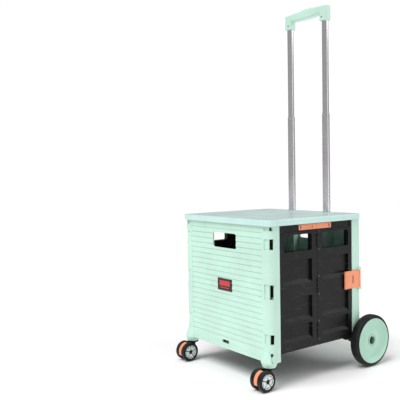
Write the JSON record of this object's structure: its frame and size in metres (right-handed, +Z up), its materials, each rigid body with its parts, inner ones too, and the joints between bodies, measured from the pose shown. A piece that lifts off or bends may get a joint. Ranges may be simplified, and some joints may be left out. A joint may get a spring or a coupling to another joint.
{
  "type": "folding shopping cart",
  "caption": "Folding box cart with hinged side leaves, lid, twin-wheel casters, rear wheels and a telescopic handle.",
  "frame": {"origin": "on the floor under the middle of the whole cart", "axes": "+Z up along the handle, -Y towards the casters and ribbed front tray, +Y towards the handle and big wheels, +X towards the side with the viewer-side latch"},
  "size_m": [0.424, 0.457, 1.0046],
  "materials": {
    "body_green": "satin moulded",
    "hub_green": "satin moulded",
    "lid_green": "smooth",
    "dark_plastic": "fine grain",
    "caster_plastic": "fine grain",
    "orange": "satin",
    "tube": "satin drawn tube",
    "steel": "bright",
    "screw": "blackened",
    "tyre": "smooth solid rubber",
    "caster_cap": "smooth",
    "badge": "satin, blank",
    "button": "satin"
  },
  "bodies": {
    "rear_frame": {"rear_panel": "body_green", "handle_guide_left": "body_green", "handle_guide_right": "body_green", "guide_collars": "dark_plastic", "rear_axle": "steel", "axle_nuts": "steel", "axle_spacers": "steel", "axle_bracket_left": "dark_plastic", "axle_bracket_right": "dark_plastic", "rear_hinge_pins": "steel", "latch_pins": "steel"},
    "wheel_left": {"wheel_hub_left": "hub_green", "wheel_tyre_left": "tyre"},
    "wheel_right": {"wheel_hub_right": "hub_green", "wheel_tyre_right": "tyre"},
    "lid": {"lid": "lid_green"},
    "handle_lower": {"lower_tube_left": "tube", "lower_tube_right": "tube", "stage_collars": "dark_plastic"},
    "handle_upper": {"upper_tube_left": "tube", "upper_tube_right": "tube", "grip": "body_green", "grip_screws": "screw"},
    "button": {"grip_button": "button"},
    "latch_left": {"corner_latch_left": "orange"},
    "latch_right": {"corner_latch_right": "orange"},
    "leaf_rear_right": {"rear_leaf_right": "dark_plastic", "seam_pins_right": "steel", "lock_keeper_right": "orange"},
    "leaf_rear_left": {"rear_leaf_left": "dark_plastic", "seam_pins_left": "steel", "lock_keeper_left": "orange"},
    "leaf_front_right": {"front_leaf_right": "dark_plastic", "lock_case_right": "orange"},
    "leaf_front_left": {"front_leaf_left": "dark_plastic", "lock_case_left": "orange"},
    "slide_lock_right": {"lock_bolt_right": "orange"},
    "slide_lock_left": {"lock_bolt_left": "orange"},
    "front_tray": {"front_panel": "body_green", "badge_plate": "badge", "caster_cup_left": "body_green", "caster_cup_right": "body_green", "front_hinge_pins": "steel", "floor_hinge_rod": "steel"},
    "floor": {"floor_panel": "dark_plastic"},
    "caster_left": {"caster_fork_left": "caster_plastic", "caster_pin_left": "steel"},
    "brake_left": {"brake_lever_left": "orange"},
    "caster_wheel_left_inner": {"caster_tyre_left_inner": "tyre", "caster_hub_left_inner": "caster_cap"},
    "caster_wheel_left_outer": {"caster_tyre_left_outer": "tyre", "caster_hub_left_outer": "caster_cap"},
    "caster_right": {"caster_fork_right": "caster_plastic", "caster_pin_right": "steel"},
    "brake_right": {"brake_lever_right": "orange"},
    "caster_wheel_right_inner": {"caster_tyre_right_inner": "tyre", "caster_hub_right_inner": "caster_cap"},
    "caster_wheel_right_outer": {"caster_tyre_right_outer": "tyre", "caster_hub_right_outer": "caster_cap"}
  },
  "joints": [
    {"name": "fold", "type": "hinge", "parent": "rear_frame", "child": "leaf_rear_right", "pos_m": [0.165, 0.1185, 0.24075], "axis": [0, 0, -1], "range_deg": [0, 90]},
    {"name": "seam_right", "type": "hinge", "parent": "leaf_rear_right", "child": "leaf_front_right", "pos_m": [0.1793, -0.0255, 0.24075], "axis": [0, 0, 1], "range_deg": [0, 180]},
    {"name": "front_tray_turn", "type": "hinge", "parent": "leaf_front_right", "child": "front_tray", "pos_m": [0.165, -0.1695, 0.24075], "axis": [0, 0, -1], "range_deg": [0, 90]},
    {"name": "rear_leaf_left_turn", "type": "hinge", "parent": "rear_frame", "child": "leaf_rear_left", "pos_m": [-0.165, 0.1185, 0.24075], "axis": [0, 0, 1], "range_deg": [0, 90]},
    {"name": "seam_left", "type": "hinge", "parent": "leaf_rear_left", "child": "leaf_front_left", "pos_m": [-0.1793, -0.0255, 0.24075], "axis": [0, 0, -1], "range_deg": [0, 180]},
    {"name": "floor_lift", "type": "hinge", "parent": "front_tray", "child": "floor", "pos_m": [0, -0.1795, 0.0805], "axis": [1, 0, 0], "range_deg": [0, 90]},
    {"name": "lid_lift", "type": "slide", "parent": "rear_frame", "child": "lid", "axis": [0, 0, 1], "range_m": [0, 0.12]},
    {"name": "handle_lower_slide", "type": "slide", "parent": "rear_frame", "child": "handle_lower", "axis": [0, 0, 1], "range_m": [-0.276, 0]},
    {"name": "handle_upper_slide", "type": "slide", "parent": "handle_lower", "child": "handle_upper", "axis": [0, 0, 1], "range_m": [-0.256, 0]},
    {"name": "button_press", "type": "slide", "parent": "handle_upper", "child": "button", "axis": [0, 0, 1], "range_m": [-0.004, 0], "stiffness_N_per_m": 400, "springref_m": 0.001},
    {"name": "latch_right_turn", "type": "hinge", "parent": "rear_frame", "child": "latch_right", "pos_m": [0.1833, 0.1345, 0.24], "axis": [0, 0, 1], "range_deg": [0, 75]},
    {"name": "latch_left_turn", "type": "hinge", "parent": "rear_frame", "child": "latch_left", "pos_m": [-0.1833, 0.1345, 0.24], "axis": [0, 0, -1], "range_deg": [0, 75]},
    {"name": "slide_lock_right_travel", "type": "slide", "parent": "leaf_front_right", "child": "slide_lock_right", "axis": [0, -1, 0], "range_m": [-0.02, 0]},
    {"name": "slide_lock_left_travel", "type": "slide", "parent": "leaf_front_left", "child": "slide_lock_left", "axis": [0, -1, 0], "range_m": [-0.02, 0]},
    {"name": "wheel_right_spin", "type": "hinge", "parent": "rear_frame", "child": "wheel_right", "pos_m": [0.198, 0.1585, 0.07], "axis": [1, 0, 0], "continuous": true},
    {"name": "caster_right_swivel", "type": "hinge", "parent": "front_tray", "child": "caster_right", "pos_m": [0.1615, -0.1805, 0.055], "axis": [0, 0, 1], "continuous": true},
    {"name": "brake_right_press", "type": "hinge", "parent": "caster_right", "child": "brake_right", "pos_m": [0.1615, -0.2025, 0.026], "axis": [1, 0, 0], "range_deg": [0, 14]},
    {"name": "caster_right_inner_spin", "type": "hinge", "parent": "caster_right", "child": "caster_wheel_right_inner", "pos_m": [0.1615, -0.2025, 0.026], "axis": [1, 0, 0], "continuous": true},
    {"name": "caster_right_outer_spin", "type": "hinge", "parent": "caster_right", "child": "caster_wheel_right_outer", "pos_m": [0.1615, -0.2025, 0.026], "axis": [1, 0, 0], "continuous": true},
    {"name": "wheel_left_spin", "type": "hinge", "parent": "rear_frame", "child": "wheel_left", "pos_m": [-0.198, 0.1585, 0.07], "axis": [1, 0, 0], "continuous": true},
    {"name": "caster_left_swivel", "type": "hinge", "parent": "front_tray", "child": "caster_left", "pos_m": [-0.1615, -0.1805, 0.055], "axis": [0, 0, 1], "continuous": true},
    {"name": "brake_left_press", "type": "hinge", "parent": "caster_left", "child": "brake_left", "pos_m": [-0.1615, -0.2025, 0.026], "axis": [1, 0, 0], "range_deg": [0, 14]},
    {"name": "caster_left_inner_spin", "type": "hinge", "parent": "caster_left", "child": "caster_wheel_left_inner", "pos_m": [-0.1615, -0.2025, 0.026], "axis": [1, 0, 0], "continuous": true},
    {"name": "caster_left_outer_spin", "type": "hinge", "parent": "caster_left", "child": "caster_wheel_left_outer", "pos_m": [-0.1615, -0.2025, 0.026], "axis": [1, 0, 0], "continuous": true}
  ],
  "couplings": [
    {"joint": "seam_right", "follows": "fold", "ratio": 2},
    {"joint": "front_tray_turn", "follows": "fold", "ratio": 1},
    {"joint": "rear_leaf_left_turn", "follows": "fold", "ratio": 1},
    {"joint": "seam_left", "follows": "fold", "ratio": 2}
  ]
}
